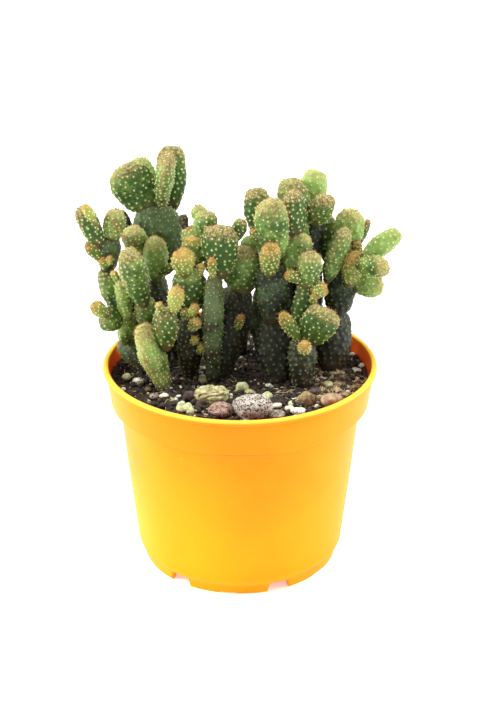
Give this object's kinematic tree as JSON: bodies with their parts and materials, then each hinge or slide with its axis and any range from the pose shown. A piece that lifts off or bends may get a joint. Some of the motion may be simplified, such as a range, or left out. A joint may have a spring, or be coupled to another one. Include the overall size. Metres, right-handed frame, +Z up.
{
  "type": "potted paddle cactus",
  "caption": "Small clump of plump, dotted paddle cactus pads growing from potting soil with loose stones in a round, tapered plastic nursery pot that stands on notched feet.",
  "frame": {"origin": "centre of the pot's underside, on the plane its feet stand on", "axes": "+Z up along the pot's axis; -Y is the side with the loose stones in front of the stems; +X to the right seen from there"},
  "size_m": [0.1501, 0.13, 0.194],
  "materials": {
    "pot_plastic": "satin moulded yellow-orange plastic, slightly translucent",
    "potting_soil": "dark, moist, fibrous potting mix",
    "olive_pebble": "furrowed olive-tan stone",
    "pumice_stone": "pinkish-grey pumice with black pores",
    "smooth_stone": "smooth pinkish-tan stone",
    "old_pad_skin": "dull dark blue-green skin of old pads with pale areoles",
    "green_pad_skin": "mid-green skin with cream areoles and brown-fuzzed tips",
    "young_pad_skin": "yellow-green skin with golden tips"
  },
  "bodies": {
    "root": {"pot": "pot_plastic", "soil": "potting_soil", "olive_pebble": "olive_pebble", "pumice_stone": "pumice_stone", "smooth_stone": "smooth_stone", "left_front_stem": "old_pad_skin", "left_main_stem": "old_pad_skin", "front_left_edge_pad": "green_pad_skin", "inner_left_stem": "old_pad_skin", "column_stem": "old_pad_skin", "centre_stem": "old_pad_skin", "centre_front_stem": "old_pad_skin", "right_front_stem": "green_pad_skin", "rear_right_stem": "old_pad_skin", "right_main_stem": "old_pad_skin", "left_front_stub": "green_pad_skin", "left_outer_pad": "green_pad_skin", "left_edge_pad": "green_pad_skin", "left_round_pad": "green_pad_skin", "left_high_old_pad": "old_pad_skin", "left_high_front_pad": "green_pad_skin", "left_far_pad": "green_pad_skin", "left_low_pad": "green_pad_skin", "left_long_pad": "green_pad_skin", "left_upright_pad": "green_pad_skin", "left_rear_fan": "old_pad_skin", "left_rear_disc": "green_pad_skin", "left_rear_tall_pad": "green_pad_skin", "left_rear_edge_pad": "green_pad_skin", "left_rear_oval_pad": "green_pad_skin", "left_rear_low_pad": "young_pad_skin", "front_left_pad": "green_pad_skin", "inner_left_pad": "green_pad_skin", "inner_left_bud_pad": "young_pad_skin", "inner_left_rear_pad": "young_pad_skin", "inner_left_top_pad": "green_pad_skin", "inner_left_side_pad": "green_pad_skin", "column_round_pad": "old_pad_skin", "centre_disc": "green_pad_skin", "centre_old_pad": "old_pad_skin", "centre_small_pad": "young_pad_skin", "centre_tall_pad": "green_pad_skin", "centre_rear_pad": "green_pad_skin", "centre_right_pad": "green_pad_skin", "centre_pointed_pad": "green_pad_skin", "centre_high_pad": "green_pad_skin", "right_front_disc": "green_pad_skin", "right_inner_pad": "green_pad_skin", "right_inner_top_pad": "young_pad_skin", "rear_right_high_stem": "old_pad_skin", "rear_right_pale_pad": "young_pad_skin", "rear_right_side_pad": "green_pad_skin", "right_old_pad": "old_pad_skin", "right_dark_disc": "old_pad_skin", "right_light_pad": "green_pad_skin", "right_oblique_pad": "green_pad_skin", "right_gold_pad": "young_pad_skin", "right_long_pad": "young_pad_skin", "right_low_long_pad": "young_pad_skin", "right_bright_disc": "young_pad_skin"}
  },
  "joints": []
}
